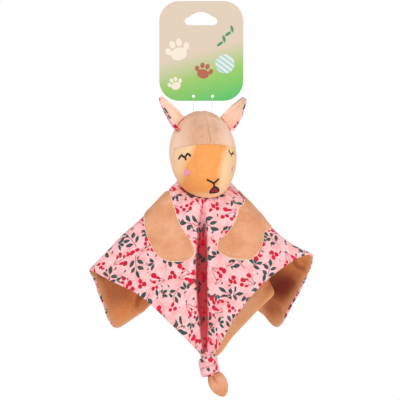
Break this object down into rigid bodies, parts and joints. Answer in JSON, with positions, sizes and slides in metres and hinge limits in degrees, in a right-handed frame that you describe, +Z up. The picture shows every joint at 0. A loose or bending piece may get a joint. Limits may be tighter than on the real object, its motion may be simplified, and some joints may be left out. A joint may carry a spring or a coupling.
{
  "type": "plush comforter toy",
  "caption": "Hanging plush comforter: a stuffed long-eared animal head on a folded two-layer blanket with a knotted corner, looped to a header card.",
  "frame": {"origin": "middle of the top edge of the card's hanging slot, where a peg carries the toy", "axes": "+Z up along the hanging toy, -Y the way the face and the card's front look, +X to the viewer's right"},
  "size_m": [0.2228, 0.1313, 0.3964],
  "materials": {
    "printed_card": "matt printed paperboard",
    "nylon_loop": "clear nylon",
    "face_velour": "short-pile velour",
    "crown_velour": "short-pile velour",
    "polyester_fill": "polyester filling",
    "squeaker_plastic": "soft moulded plastic",
    "dark_thread": "embroidery thread",
    "pink_thread": "satin-stitch thread",
    "crimson_thread": "satin-stitch thread",
    "printed_cotton": "printed cotton",
    "lining_velour": "short-pile velour",
    "paw_velour": "short-pile velour"
  },
  "bodies": {
    "card": {"header_card": "printed_card"},
    "head": {"head_face": "face_velour", "head_crown_left": "crown_velour", "head_crown_right": "crown_velour", "head_stuffing": "polyester_fill", "squeaker_bulb": "squeaker_plastic", "squeaker_reed": "squeaker_plastic", "eye_left": "dark_thread", "eye_right": "dark_thread", "cheek_left": "pink_thread", "cheek_right": "pink_thread", "nose_stitch": "dark_thread", "mouth_outline": "dark_thread", "mouth_tongue": "crimson_thread", "tag_loop_left": "nylon_loop", "tag_loop_right": "nylon_loop"},
    "ear_left": {"ear_left_velour": "crown_velour", "ear_left_print": "printed_cotton"},
    "ear_right": {"ear_right_velour": "crown_velour", "ear_right_print": "printed_cotton"},
    "neck": {"neck_sleeve": "lining_velour"},
    "blanket": {"blanket_print": "printed_cotton", "blanket_velour": "lining_velour", "paw_left": "paw_velour", "paw_right": "paw_velour"},
    "knot": {"knot_band": "printed_cotton", "knot_core": "printed_cotton", "knot_tail": "lining_velour"}
  },
  "joints": [
    {"name": "toy_swing", "type": "hinge", "parent": "card", "child": "head", "pos_m": [0.002, 0, -0.0844], "axis": [1, 0, 0], "range_deg": [-30, 30], "deforming": ["tag_loop_left", "tag_loop_right"]},
    {"name": "ear_left_flap", "type": "hinge", "parent": "head", "child": "ear_left", "pos_m": [-0.02007, -0.00441, -0.1119], "axis": [0.754, 0.188, 0.6293], "range_deg": [-20, 20], "stiffness_Nm_per_rad": 0.02},
    {"name": "ear_right_flap", "type": "hinge", "parent": "head", "child": "ear_right", "pos_m": [0.02262, 0.00623, -0.1119], "axis": [0.754, 0.188, -0.6293], "range_deg": [-20, 20], "stiffness_Nm_per_rad": 0.02},
    {"name": "neck_turn", "type": "hinge", "parent": "head", "child": "neck", "pos_m": [0.002, 0, -0.18], "axis": [0, -0.4067, 0.9135], "range_deg": [-25, 25], "stiffness_Nm_per_rad": 0.05},
    {"name": "neck_nod", "type": "hinge", "parent": "neck", "child": "blanket", "pos_m": [0.002, 0, -0.18], "axis": [1, 0, 0], "range_deg": [-8, 8], "stiffness_Nm_per_rad": 1, "deforming": ["neck_sleeve"]},
    {"name": "knot_swing", "type": "hinge", "parent": "blanket", "child": "knot", "pos_m": [0.0055, -0.0315, -0.342], "axis": [1, 0, 0], "range_deg": [-20, 20]}
  ]
}
